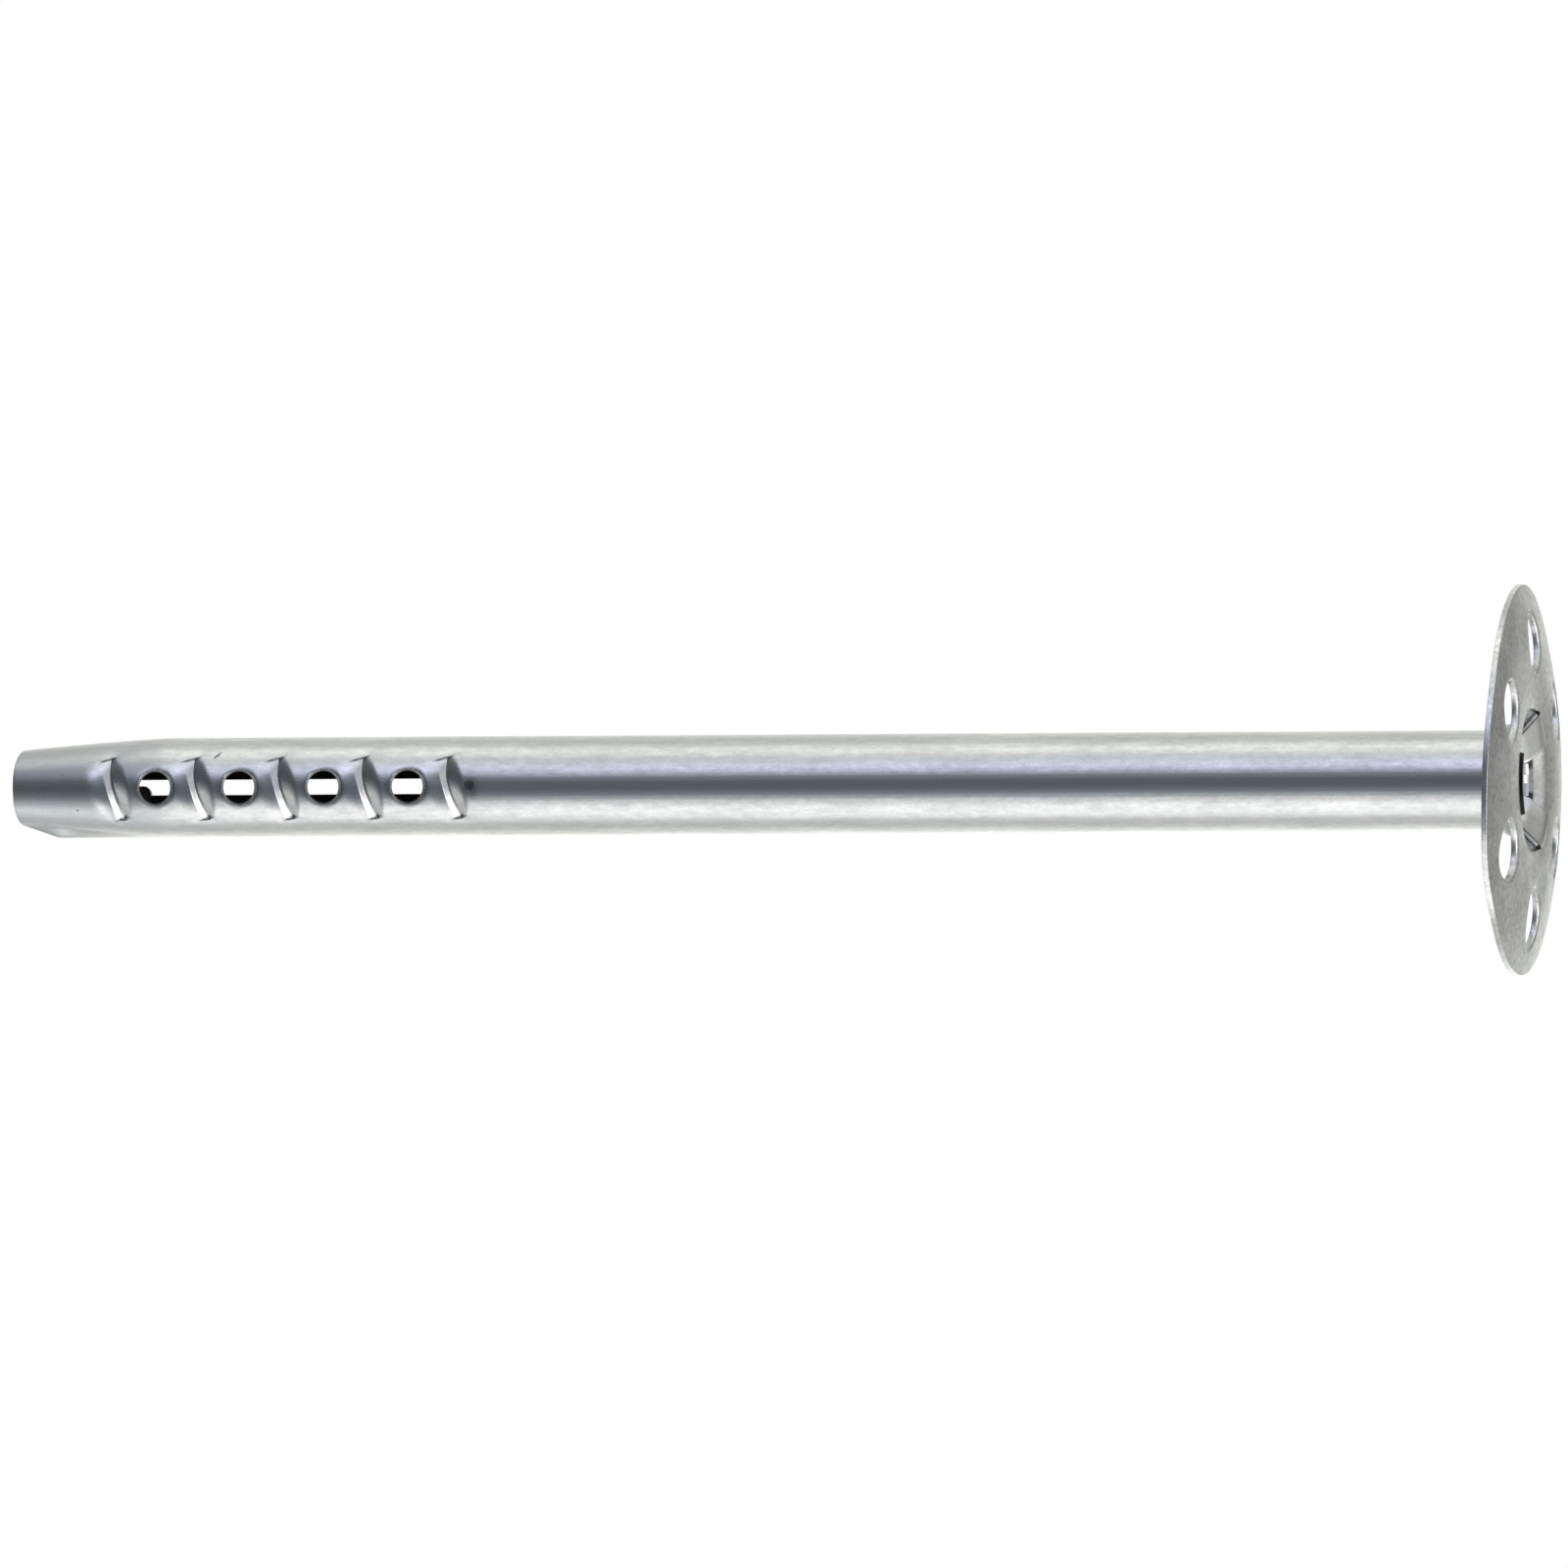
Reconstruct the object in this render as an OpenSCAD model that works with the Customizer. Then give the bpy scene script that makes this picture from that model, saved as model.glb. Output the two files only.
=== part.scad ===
// Sheet-steel insulation anchor: a rolled, slotted sleeve with three flared
// ears, and a pressed, domed head disc that the ears clinch.
// Frame: the sleeve's axis is Z, the head is down on Z = 0, the tip is up.
// The row of round holes faces -Y and the long slot faces +Y.

/* [Overall] */
// Length of the whole anchor, from the crown of the head to the tip
total_l = 139; // [120:1:300]
// Thickness of the sheet both pieces are made from
sheet_t = 0.5; // [0.4:0.05:0.6]

/* [Sleeve] */
// Outside radius of the sleeve, relaxed
sleeve_r = 4.46; // [4.3:0.02:4.6]
// Width of the slot that runs the whole length of the sleeve
slot_w = 1.5; // [0.8:0.1:2.2]
// Width of the slot past the lapped corner near the tip
slot_tip_w = 0.6; // [0.4:0.1:0.7]
// Distance from the tip to where the slot gets narrower
slot_tip_l = 11.3; // [8:0.1:14]
// How much the tip is smaller in radius than the sleeve
tip_drop = 1.06; // [0.6:0.02:1.3]
// Length of the drawn-in tip
tip_l = 14; // [10:0.5:18]

/* [Holes and notches] */
// Number of round holes in the row
hole_n = 4; // [2:1:5]
// Radius of each round hole
hole_r = 1.62; // [1.2:0.02:1.8]
// Distance from the tip to the middle of the first round hole
hole_from_tip = 13.4; // [12.4:0.1:15]
// Spacing of the holes, and of the notches between them
pitch = 7.73; // [7:0.01:9]
// Distance from the tip to the middle of the first notch
notch_from_tip = 9.7; // [9.4:0.1:10.6]
// Depth of each pressed notch at the middle
notch_depth = 0.95; // [0.6:0.05:1.1]
// Half of a notch's width along the sleeve, at the surface
notch_half_w = 0.95; // [0.7:0.05:1.1]
// Slant of the notches across the sleeve, in degrees
notch_slant = 15; // [0:1:20]

/* [Ears] */
// Angle that each flared ear spans round the sleeve
ear_span = 51; // [40:1:60]
// Angle from the slot to the middle of the ear on each side of it
ear_side_a = 48; // [44:1:56]
// How far round the ears sit off the slot's own middle, in degrees
ear_turn = 3; // [0:1:5]
// Height over the crown where the sleeve's edge lies between the ears
shoulder_h = 1.6; // [1.4:0.1:2]

/* [Head disc] */
// Diameter of the head disc
disc_d = 35; // [34:0.5:36]
// Height of the dome's crown over the rim
crown_h = 1.2; // [1:0.1:1.4]
// Radius of the ring where the dome is highest
crown_r = 10; // [9:0.2:10.4]
// Height lost from the crown to the lip of the middle funnel
lip_drop = 0.34; // [0.3:0.02:0.4]
// Number of round holes in the disc
disc_hole_n = 6; // [6]
// Radius of each round hole in the disc
disc_hole_r = 2.66; // [2.3:0.02:2.8]
// Radius of the circle the disc's holes lie on
disc_hole_ring_r = 12.4; // [12:0.1:12.8]
// How far the drawn edge of each hole stands behind the disc
collar_h = 0.55; // [0.3:0.05:0.8]

/* [Hidden] */
$fn = 96;
bore_r = sleeve_r - sheet_t;
gap = 0.01;
shoulder_flare = 0.05;

// The cone that the ears and the disc's funnel share: it runs from the
// sleeve's wall down and out to the ear's end.
cone_a = [sleeve_r, 2.05];
cone_b = [6.35, 0.34];
cone_dir = (cone_b - cone_a) / norm(cone_b - cone_a);
function on_cone(r) = cone_a + cone_dir * (r - cone_a[0]) / cone_dir[0];

// Middle of the bend between the sleeve's wall and that cone
bend_hi = [sleeve_r, 2.75];
bend_lo = on_cone(4.83);
function bez(a, b, c, t) = a * (1 - t) * (1 - t) + b * 2 * t * (1 - t) + c * t * t;
function bend() = [for (i = [0:5]) bez(bend_hi, cone_a, bend_lo, i / 5)];

// Sideways normal of a run of points, and the run moved along it
function seg_n(p, q) = let (d = (q - p) / norm(q - p)) [-d[1], d[0]];
function run_n(p, i) =
    let (n = len(p),
         a = seg_n(p[max(i - 1, 0)], p[max(i, 1)]),
         b = seg_n(p[min(i, n - 2)], p[min(i + 1, n - 1)]),
         s = a + b)
    s / norm(s) / max(0.5, norm(s) / 2);
function shifted(p, d) = [for (i = [0:len(p) - 1]) p[i] + run_n(p, i) * d];
function reversed(p) = [for (i = [len(p) - 1:-1:0]) p[i]];

// How much the drawn-in tip loses in radius at a distance s from the end
function drop(s) = s >= tip_l ? 0 : tip_drop * pow(1 - s / tip_l, 1.22);
tip_steps = [for (s = [0, 1.5, 3, 5, 7, 9, 11.5, tip_l]) s];

// Height of the disc's outer face over Z = 0, against the radius
function dome(r) = r > crown_r
    ? crown_h * pow((r - crown_r) / (disc_d / 2 - crown_r), 2)
    : lip_drop * pow((crown_r - r) / 3.6, 2);
lip_in = on_cone(5.95);
lip_out = [6.85, dome(6.85)];
lip_mid = on_cone(6.42);
disc_face = concat(
    bend(),
    [for (i = [0:4]) bez(lip_in, lip_mid, lip_out, i / 4)],
    [for (r = [7.6, 8.4, 9.2, 10, 10.8, 11.6, 12.4, 13.2, 14, 14.8, 15.6, 16.3, 17]) [r, dome(r)]],
    [[disc_d / 2, crown_h]]);
disc_front = shifted(disc_face, gap);
disc_back = shifted(disc_face, gap + sheet_t);

// Sheet profile of the sleeve: outside from the tip down, round the bend and
// along the funnel to the ear's end just over the lip, and back inside
sleeve_out = concat(
    [for (s = tip_steps) [sleeve_r - drop(s), total_l - s]],
    bend(),
    [for (i = [0:3]) bez(lip_in, lip_mid, lip_out, i / 4)]);
sleeve_in = shifted(sleeve_out, -sheet_t);

// Directions are counted from the slot, +Y, towards +X
function toward(a) = [sin(a), cos(a)];

module slot_cut() {
    translate([-slot_w / 2, 0, -1])
        cube([slot_w, 10, total_l - slot_tip_l + 1]);
    // past the lapped corner only the side towards +X stays open
    translate([slot_w / 2 - slot_tip_w, 0, total_l - slot_tip_l - 1])
        cube([slot_tip_w, 10, slot_tip_l + 2]);
}

module round_holes() {
    for (i = [0:hole_n - 1])
        translate([0, 0, total_l - hole_from_tip - i * pitch])
            rotate([90, 0, 0])
                cylinder(r = hole_r, h = 10);
}

// A V pressed straight in across the row of holes; deeper by d at its apex
module vee(d) {
    apex = sleeve_r - notch_depth - d;
    slope = notch_half_w / notch_depth;
    for (i = [0:hole_n])
        translate([0, 0, total_l - notch_from_tip - i * pitch])
            rotate([0, -notch_slant, 0])
                rotate([90, 0, 90])
                    translate([0, 0, -3.6])
                        linear_extrude(height = 7.2)
                            polygon([[-apex, 0],
                                     [-apex - 3, -3 * slope],
                                     [-apex - 3, 3 * slope]]);
}

// A wedge round the axis between two directions, from z0 up to z1
module wedge(a0, a1, z0, z1) {
    translate([0, 0, z0])
        linear_extrude(height = z1 - z0)
            polygon(concat([[0, 0]],
                           [for (i = [0:2]) 14 * toward(a0 + (a1 - a0) * i / 2)]));
}

// The three stretches with no ear: at the slot, and one on each side
module ear_gaps(z0, z1) {
    h = ear_span / 2;
    wedge(ear_turn - ear_side_a + h, ear_turn + ear_side_a - h, z0, z1);
    wedge(ear_turn + ear_side_a + h, ear_turn + 180 - h, z0, z1);
    wedge(ear_turn + 180 + h, ear_turn + 360 - ear_side_a - h, z0, z1);
}

// The wall that the shoulders are cut from, a cone that opens downward
module shoulder_wall() {
    rotate_extrude()
        polygon([[bore_r, bend_hi[1]], [bore_r + shoulder_flare, shoulder_h],
                 [sleeve_r + shoulder_flare, shoulder_h], [sleeve_r, bend_hi[1]]]);
}

module sleeve_body() {
    rotate_extrude()
        polygon(concat(sleeve_out, reversed(sleeve_in)));
}

// Everything inside the sleeve's outside face, tapered tip included
module sleeve_full() {
    rotate_extrude()
        polygon(concat([[0, total_l]],
                       [for (s = tip_steps) [sleeve_r - drop(s), total_l - s]],
                       [[sleeve_r, 60], [0, 60]]));
}

module sleeve() {
    color([0.76, 0.78, 0.78])
    union() {
        difference() {
            union() {
                difference() {
                    sleeve_body();
                    ear_gaps(-1, bend_hi[1]);
                }
                // between the ears the sleeve's wall flares a touch and ends square
                intersection() {
                    ear_gaps(shoulder_h, bend_hi[1]);
                    shoulder_wall();
                }
            }
            slot_cut();
            round_holes();
            vee(0);
            // the ears' ends are pressed flush with the crown
            translate([-12, -12, -3])
                cube([24, 24, 3]);
        }
        // the pressed-in sheet under each notch
        intersection() {
            difference() {
                vee(sheet_t * 1.3);
                vee(0);
                round_holes();
            }
            sleeve_full();
        }
    }
}

module head_disc() {
    color([0.70, 0.71, 0.68])
    difference() {
        union() {
            rotate_extrude()
                polygon(concat(disc_front, reversed(disc_back)));
            // drawn edges of the holes, behind the disc
            for (i = [0:disc_hole_n - 1])
                rotate([0, 0, -30 - i * 360 / disc_hole_n])
                    translate([0, disc_hole_ring_r, dome(disc_hole_ring_r) + sheet_t / 2])
                        cylinder(r = disc_hole_r + 0.35, h = sheet_t / 2 + collar_h);
        }
        for (i = [0:disc_hole_n - 1])
            rotate([0, 0, -30 - i * 360 / disc_hole_n])
                translate([0, disc_hole_ring_r, -2])
                    cylinder(r = disc_hole_r, h = 8);
        // the funnel's inner edge is cut square where the sleeve's bend starts
        translate([0, 0, bend_hi[1] - 0.04])
            cylinder(r = sleeve_r + 2, h = 2);
    }
}

sleeve();
head_disc();
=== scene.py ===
import math

import bpy
import numpy as np
from mathutils import Matrix, Vector

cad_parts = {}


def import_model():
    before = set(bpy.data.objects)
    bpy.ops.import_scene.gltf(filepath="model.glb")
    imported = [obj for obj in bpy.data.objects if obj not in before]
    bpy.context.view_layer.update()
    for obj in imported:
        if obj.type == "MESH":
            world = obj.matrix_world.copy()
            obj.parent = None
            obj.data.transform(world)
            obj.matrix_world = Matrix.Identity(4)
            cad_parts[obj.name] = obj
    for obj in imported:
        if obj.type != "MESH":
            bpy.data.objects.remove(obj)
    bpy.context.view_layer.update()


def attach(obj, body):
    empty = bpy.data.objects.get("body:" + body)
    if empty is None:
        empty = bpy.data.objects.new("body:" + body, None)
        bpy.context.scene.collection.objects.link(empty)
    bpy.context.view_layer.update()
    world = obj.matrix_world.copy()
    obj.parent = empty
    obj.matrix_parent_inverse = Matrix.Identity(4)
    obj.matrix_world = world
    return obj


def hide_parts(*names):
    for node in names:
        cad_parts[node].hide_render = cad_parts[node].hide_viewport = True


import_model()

MM = 0.001
DEG = math.pi / 180

# ---------------------------------------------------------------- sizes, mm
TOTAL = 139.0        # crown of the head to the tip
T = 0.5              # sheet
R = 4.46             # sleeve, outside
SLOT = 0.75          # half the slot
TIP_L = 14.0
TIP_DROP = 1.06
PITCH = 7.73
HOLE_R = 1.62
HOLES = [TOTAL - 13.4 - i * PITCH for i in range(4)]
NOTCHES = [TOTAL - 9.7 - i * PITCH for i in range(5)]
SLANT = math.tan(15 * DEG)
CROWN_H, CROWN_R = 1.2, 10.0
DISC_R = 17.5
RING_R = 12.4
DHOLE_R = 2.66


def smooth(x):
    x = np.clip(x, 0.0, 1.0)
    return x * x * (3 - 2 * x)


# ------------------------------------------------- shared section of the head
CONE_A = np.array([R, 2.05])
CONE_B = np.array([6.35, 0.34])
CONE_D = (CONE_B - CONE_A) / np.linalg.norm(CONE_B - CONE_A)


def on_cone(r):
    return CONE_A + CONE_D * (r - R) / CONE_D[0]


def bez(a, b, c, t):
    a, b, c = np.asarray(a), np.asarray(b), np.asarray(c)
    return a * (1 - t) ** 2 + b * 2 * t * (1 - t) + c * t * t


def dome(r):
    if r > CROWN_R:
        return CROWN_H * ((r - CROWN_R) / (DISC_R - CROWN_R)) ** 2
    return 0.34 * ((CROWN_R - r) / 3.6) ** 2


BEND_HI, BEND_LO = np.array([R, 2.75]), on_cone(4.83)
LIP_IN, LIP_MID, LIP_OUT = on_cone(5.95), on_cone(6.42), np.array([6.85, dome(6.85)])


# ------------------------------------------------------------ sheet of metal
def rounded_sheet(name, pts, quads, thick, edge=0.055, floor_z=None, far=None, shade=None, cut=None, burr_shade=1.0, back_shade=1.0, raw=0.0):
    """A closed solid from one face of a sheet: pts in mm, quads wound so that
    the face looks outward. The other face lies thick behind, or on far where
    that isn't nan, and every free edge gets a square wall with small round
    corners. shade, 0 to 1 a point, is kept as the tone attribute and holds
    painted shade; cut is the tone along the middle of the walls, painted
    highlights among it, burr_shade that of the walls' corners, burrs with
    painted shade, and back_shade that of the other face, with painted shade
    and highlights; raw is how torn the wall is, which makes it matt.
    Each is a number or one a point."""
    pts = np.asarray(pts, float)
    quads = np.asarray(quads, int)
    n_pts = len(pts)
    thick = np.broadcast_to(np.asarray(thick, float), (n_pts,))
    a, b, c, d = (pts[quads[:, i]] for i in range(4))
    fn = np.cross(c - a, d - b)
    nor = np.zeros_like(pts)
    # each corner's weight is its own angle, so that long cells don't lean
    for i in range(4):
        p = pts[quads[:, i]]
        e0 = pts[quads[:, (i + 1) % 4]] - p
        e1 = pts[quads[:, (i + 3) % 4]] - p
        cr = np.cross(e0, e1)
        ln = np.linalg.norm(cr, axis=1, keepdims=True)
        bad = ln[:, 0] < 1e-12
        cr = np.where(bad[:, None], fn, cr)
        ln = np.linalg.norm(cr, axis=1, keepdims=True)
        w = np.arctan2(ln[:, 0], np.abs((e0 * e1).sum(1)) + 1e-12)[:, None]
        np.add.at(nor, quads[:, i], cr / np.maximum(ln, 1e-15) * w)
    nor /= np.maximum(np.linalg.norm(nor, axis=1, keepdims=True), 1e-15)
    # free edges, each directed with the sheet on its left
    seen = set()
    for q in quads.tolist():
        for i in range(4):
            if q[i] != q[(i + 1) % 4]:
                seen.add((q[i], q[(i + 1) % 4]))
    nxt = {i: j for i, j in seen if (j, i) not in seen}
    prv = {j: i for i, j in nxt.items()}
    rim = sorted(nxt)
    if set(rim) != set(prv):
        raise RuntimeError(name + ": a free edge isn't a closed loop")
    front, back = pts.copy(), pts - nor * thick[:, None]
    if far is not None:
        back = np.where(np.isnan(far), back, far)
    ring = {}
    extra = []
    base = 2 * n_pts
    rim_i = np.array(rim)
    p_n = pts[np.array([nxt[i] for i in rim])]
    p_p = pts[np.array([prv[i] for i in rim])]
    p_0 = pts[rim_i]
    t_a = p_n - p_0
    t_b = p_0 - p_p
    t_a /= np.linalg.norm(t_a, axis=1, keepdims=True)
    t_b /= np.linalg.norm(t_b, axis=1, keepdims=True)
    nn = nor[rim_i]
    o_a = np.cross(t_a, nn)
    o_b = np.cross(t_b, nn)
    out = o_a + o_b
    ln = np.linalg.norm(out, axis=1, keepdims=True)
    out = out / np.maximum(ln, 1e-9)
    miter = 1 / np.maximum((out * o_a).sum(1), 0.6)
    out = out * miter[:, None]
    steps = [(0.5, False), (1.0, False), None, (1.0, True), (0.5, True)]
    rings = []
    bp = back[rim_i].copy()
    for step in steps:
        if step is None:
            rings.append((p_0 + bp) / 2)
            continue
        f, on_back = step
        ang = f * math.pi / 2
        dn = edge * (1 - math.cos(ang))
        do = edge * (1 - math.sin(ang))
        src = bp + nn * dn if on_back else p_0 - nn * dn
        rings.append(src - out * do)
    front[rim_i] = p_0 - out * edge
    back[rim_i] = bp - out * edge
    verts = np.concatenate([front, back] + rings)
    tone = np.ones(n_pts) if shade is None else np.asarray(shade, float)
    wall = np.ones(n_pts) if cut is None else np.broadcast_to(np.asarray(cut, float), (n_pts,))
    wall = tone[rim_i] * wall[rim_i]
    burr_shaded = wall * np.broadcast_to(np.asarray(burr_shade, float), (n_pts,))[rim_i]
    tones = np.concatenate([tone, tone * back_shade, burr_shaded, burr_shaded, wall, burr_shaded, burr_shaded])
    torn = np.broadcast_to(np.asarray(raw, float), (n_pts,))[rim_i]
    torn = np.concatenate([np.zeros(2 * n_pts), torn * 0, torn, torn, torn, torn * 0])
    if floor_z is not None:
        # a shade deeper inward, as the press leaves it
        deeper = 0.10 * np.clip(6.45 - np.hypot(verts[:, 0], verts[:, 1]), 0, 1)
        verts[:, 2] = np.maximum(verts[:, 2], floor_z + (deeper if floor_z > 0 else 0))
    where = {i: k for k, i in enumerate(rim)}
    m = len(rim)
    faces = []
    for q in quads.tolist():
        f = [q[i] for i in range(4) if q[i] != q[i - 1]]
        faces.append(f)
        faces.append([n_pts + i for i in reversed(f)])
    for i in rim:
        j = nxt[i]
        ki, kj = where[i], where[j]
        li = [i] + [base + s * m + ki for s in range(5)] + [n_pts + i]
        lj = [j] + [base + s * m + kj for s in range(5)] + [n_pts + j]
        for s in range(6):
            faces.append([lj[s], li[s], li[s + 1], lj[s + 1]])
    mesh = bpy.data.meshes.new(name)
    mesh.from_pydata([tuple(v) for v in verts * MM], [], faces)
    mesh.validate()
    mesh.update()
    mesh.shade_smooth()
    # normals weighted by area, so that flats stay flat beside their round edges
    nv = len(mesh.vertices)
    co = np.empty(nv * 3)
    mesh.vertices.foreach_get("co", co)
    co = co.reshape(-1, 3) / MM
    acc = np.zeros((nv, 3))
    by_size = {}
    for f in faces:
        by_size.setdefault(len(f), []).append(f)
    for k, fs in by_size.items():
        fs = np.array(fs)
        if k == 4:
            n = np.cross(co[fs[:, 2]] - co[fs[:, 0]], co[fs[:, 3]] - co[fs[:, 1]])
        else:
            n = np.cross(co[fs[:, 1]] - co[fs[:, 0]], co[fs[:, 2]] - co[fs[:, 0]])
        for i in range(k):
            np.add.at(acc, fs[:, i], n)
    acc /= np.maximum(np.linalg.norm(acc, axis=1, keepdims=True), 1e-15)
    mesh.normals_split_custom_set_from_vertices([tuple(v) for v in acc])
    at = mesh.attributes.new("tone", "FLOAT", "POINT")
    at.data.foreach_set("value", tones.astype(np.float32))
    at = mesh.attributes.new("raw", "FLOAT", "POINT")
    at.data.foreach_set("value", torn.astype(np.float32))
    ob = bpy.data.objects.new(name, mesh)
    bpy.context.scene.collection.objects.link(ob)
    return ob


class Domain:
    """Vertices of a sheet's plan with shared numbering."""

    def __init__(self):
        self.uv = []
        self.quads = []

    def add(self, u, v):
        self.uv.append((u, v))
        return len(self.uv) - 1

    def ring_block(self, loop, centre, inner, steps, kind):
        """Fills the strip between a closed loop of vertices and a circle.
        loop: vertex ids in order, anticlockwise; inner(angle, f) gives the
        plan point at fraction f, 0 on the circle and 1 on the loop."""
        angles = [math.atan2(self.uv[i][1] - centre[1], self.uv[i][0] - centre[0]) for i in loop]
        last = loop
        for f in steps:
            now = []
            for i, an in zip(loop, angles):
                now.append(self.add(*inner(an, f, self.uv[i])))
                self.tag[now[-1]] = (kind, f)
            n = len(loop)
            for k in range(n):
                # outside loop anticlockwise: the hole is on its left
                self.quads.append((last[k], last[(k + 1) % n], now[(k + 1) % n], now[k]))
            last = now

    tag = {}


# ------------------------------------------------------------------- sleeve
def tip_drop(s):
    return np.where(s >= TIP_L, 0.0, TIP_DROP * np.maximum(1 - s / TIP_L, 0) ** 1.22)


def wrap_noise(al, z, seed):
    """Slow waviness round and along the sleeve, about -1 to 1."""
    rng = np.random.default_rng(seed)
    out = 0
    for k in range(1, 6):
        a1, a2, a3 = rng.uniform(0, 2 * math.pi, 3)
        out = out + np.sin(k * al + a1 + 1.7 * np.sin(z / (9.0 + 3 * k) + a2)) * np.sin(z / (5.0 + 4 * k) + a3) / k ** 0.8
    return out / 2.2


def sleeve_radius(al, z):
    """Outside radius at an angle from the front towards +X, radians."""
    s = TOTAL - z
    drop = tip_drop(s)
    low = smooth((-al / DEG - (67 + 0.9 * s)) / 15.0)      # the lower back quarter stands out
    flap = 1.27 * np.clip(1 - s / 3.8, 0, 1) - 0.02 * smooth((TIP_L + 4 - s) / 6)
    drop = drop * (1 - low) + flap * low
    return R - drop


CS, SN = math.cos(15 * DEG), math.sin(15 * DEG)
END_W = (2.84, 2.60)         # a notch's reach to each side of its middle
DEEP = (1.03, 0.97, 1.02, 1.0, 0.95)


def crease(w):
    """Where a notch's deepest line lies, towards the tip, off its own middle."""
    return 0.39 - np.where(w < 0, 0.30, 0.56) * (np.clip(w, -2.8, 2.8) / 2.6) ** 2


def left_w(w):
    """Width of the steep flank, on the tip's side of the crease."""
    e = np.clip(w / np.where(w < 0, END_W[0], END_W[1]), -1, 1)
    return 0.42 + 0.40 * np.clip(e, 0, 1) ** 1.6 + 0.28 * np.clip(-e, 0, 1) ** 1.6


def notch_depth(x, z):
    """How far the pressed notches move the front of the sleeve back, mm, and
    a tone with painted shade along their sheared ends and in their creases."""
    total = np.zeros_like(x)
    tone = np.ones_like(x)
    for k, zn in enumerate(NOTCHES):
        w = x * CS + (z - zn) * SN
        u = x * SN - (z - zn) * CS + crease(w)      # + towards the head
        end = np.where(w < 0, END_W[0], END_W[1])
        e = np.clip(np.abs(w) / end, 0, 1)
        q = 1 - e * e
        hl = left_w(w)
        hr = 0.62 + 0.95 * q
        deep = np.where(w < 0, 0.46 + 0.16 * q, 0.30 + 0.32 * q) * DEEP[k]
        lip = 0.05 + 0.17 * q * q                   # depth left at the steep flank's top
        vee = lip + (deep - lip) * (1 + u / hl)
        left = lip * 0.5 * (1 + np.cos(math.pi * np.clip((-u - hl) / 1.5, 0, 1)))
        t = np.clip(u / hr, 0, 1)
        right = deep * (1 - t) ** 1.5
        soft = 0.015 + 0.10 * smooth((w + 0.2) / 1.2)
        rise = 0.5 * (left + vee + np.sqrt((left - vee) ** 2 + soft * soft))
        rise = np.minimum(rise, deep)
        d = np.where(u < 0, rise, right)
        # the punch ends short and shears in; a soft sink is left beyond it
        over = np.abs(w) - end
        sink = 0.09 * np.exp(-np.maximum(over, 0) / 0.55) * np.exp(-((u - 0.3) / 1.1) ** 2)
        ease = smooth((u - 0.35) / 0.5)
        gate = 1 - smooth((over + 0.05 + 0.55 * ease) / (0.13 + 1.0 * ease))
        d = d * gate + sink * (1 - gate)
        total = np.maximum(total, d)
        # painted shade: a dark line along each sheared end
        line = np.exp(-((over - 0.02) / 0.085) ** 2) * smooth((u + hl + 0.35) / 0.4) * smooth((0.62 - u) / 0.25)
        # painted shade in the gentle flank, close to the crease
        crease_shade = smooth(u / 0.05) * np.exp(-np.maximum(u, 0) / 0.75) * gate * smooth((w + 0.9) / 1.2)
        tone = tone * (1 - 0.80 * line) * (1 - 0.34 * crease_shade)
    return total, tone


def sleeve_point(al, z):
    """Outside and inside faces of the sleeve in mm, and the metal's tone, with painted shade."""
    # the sheared end is a little short, most at the sides
    z = z - (0.13 + 0.42 * np.abs(np.sin(al)) ** 4) * smooth((z - 134.5) / 4.5)
    r = sleeve_radius(al, z) + 0.012 * wrap_noise(al, z, 5)
    x, y = r * np.sin(al), -r * np.cos(al)
    front = smooth((70 - np.abs(al) / DEG) / 12.0)
    dep, tone = notch_depth(x, z)
    push = dep * front
    for zh in HOLES:
        rho = np.hypot(x, z - zh)
        near = np.clip(1 - (rho - HOLE_R) / 0.4, 0, 1.15)
        push = push + 0.045 * near ** 2 * front
    # small dimple on the head side of the last notch
    pit = np.exp(-(((x + 0.05) / 0.5) ** 2 + ((z - 96.75) / 0.42) ** 2)) * front
    push = push + 0.12 * pit
    tone = np.where(front > 0, 1 - (1 - tone) * front, 1) * (1 - 0.35 * pit)
    # painted shade beside each hole, where its edge rolls over, on the way to the next notch
    for zh in HOLES:
        rho = np.hypot(x, z - zh) - HOLE_R
        tone = tone * (1 - 0.38 * front * np.exp(-(np.maximum(rho, 0) / 0.36) ** 2) * smooth((1.1 - np.abs(x + 0.25)) / 0.7))
    inner = np.stack([(r - T) * np.sin(al), -(r - T) * np.cos(al) + push, z + 0 * x], axis=-1)
    # the punch drew each hole's edge in, so it is narrower behind
    for zh in HOLES:
        dx, dz = inner[..., 0], inner[..., 2] - zh
        rho = np.hypot(x, z - zh)
        want = HOLE_R - 0.19
        k = np.clip(1 - (rho - HOLE_R) / 0.5, 0, 1) * front
        have = np.maximum(np.hypot(dx, dz), 1e-6)
        scale = 1 + (want / have - 1) * k * (have < HOLE_R + 0.6)
        inner[..., 0] = dx * scale
        inner[..., 2] = zh + dz * scale + 0.09 * k * (have < HOLE_R + 0.6)
    return np.stack([x, y + push, z + 0 * x], axis=-1), inner, tone


def slot_x(z):
    """X of the slot's lower and upper edge."""
    step = TOTAL - 11.3
    t = np.clip((z - step) / 0.7, 0, 1)
    low = -SLOT + 0.92 * np.sqrt(np.maximum(1 - (1 - t) ** 2, 0))
    # flaring the ears closed it a little at the head
    shut = smooth((7.5 - z) / 5.0)
    return low + 0.38 * shut, SLOT + 0.02 * smooth((z - 120) / 10) - 0.29 * shut


# the ears, in degrees from the front: at their roots, and at their ends, where
# the two corners are rounded
EARS = [(-32.0, 25.0), (109.5, 158.0), (-158.5, -103.0)]
ENDS = [(-31.5, 24.5), (105.5, 149.0), (-147.5, -105.0)]
CORNERS = [(0.7, 0.7), (0.30, 1.45), (0.75, 0.40)]
HAIR = 0.5           # the crack between an ear's root and the sleeve's edge, degrees


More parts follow.
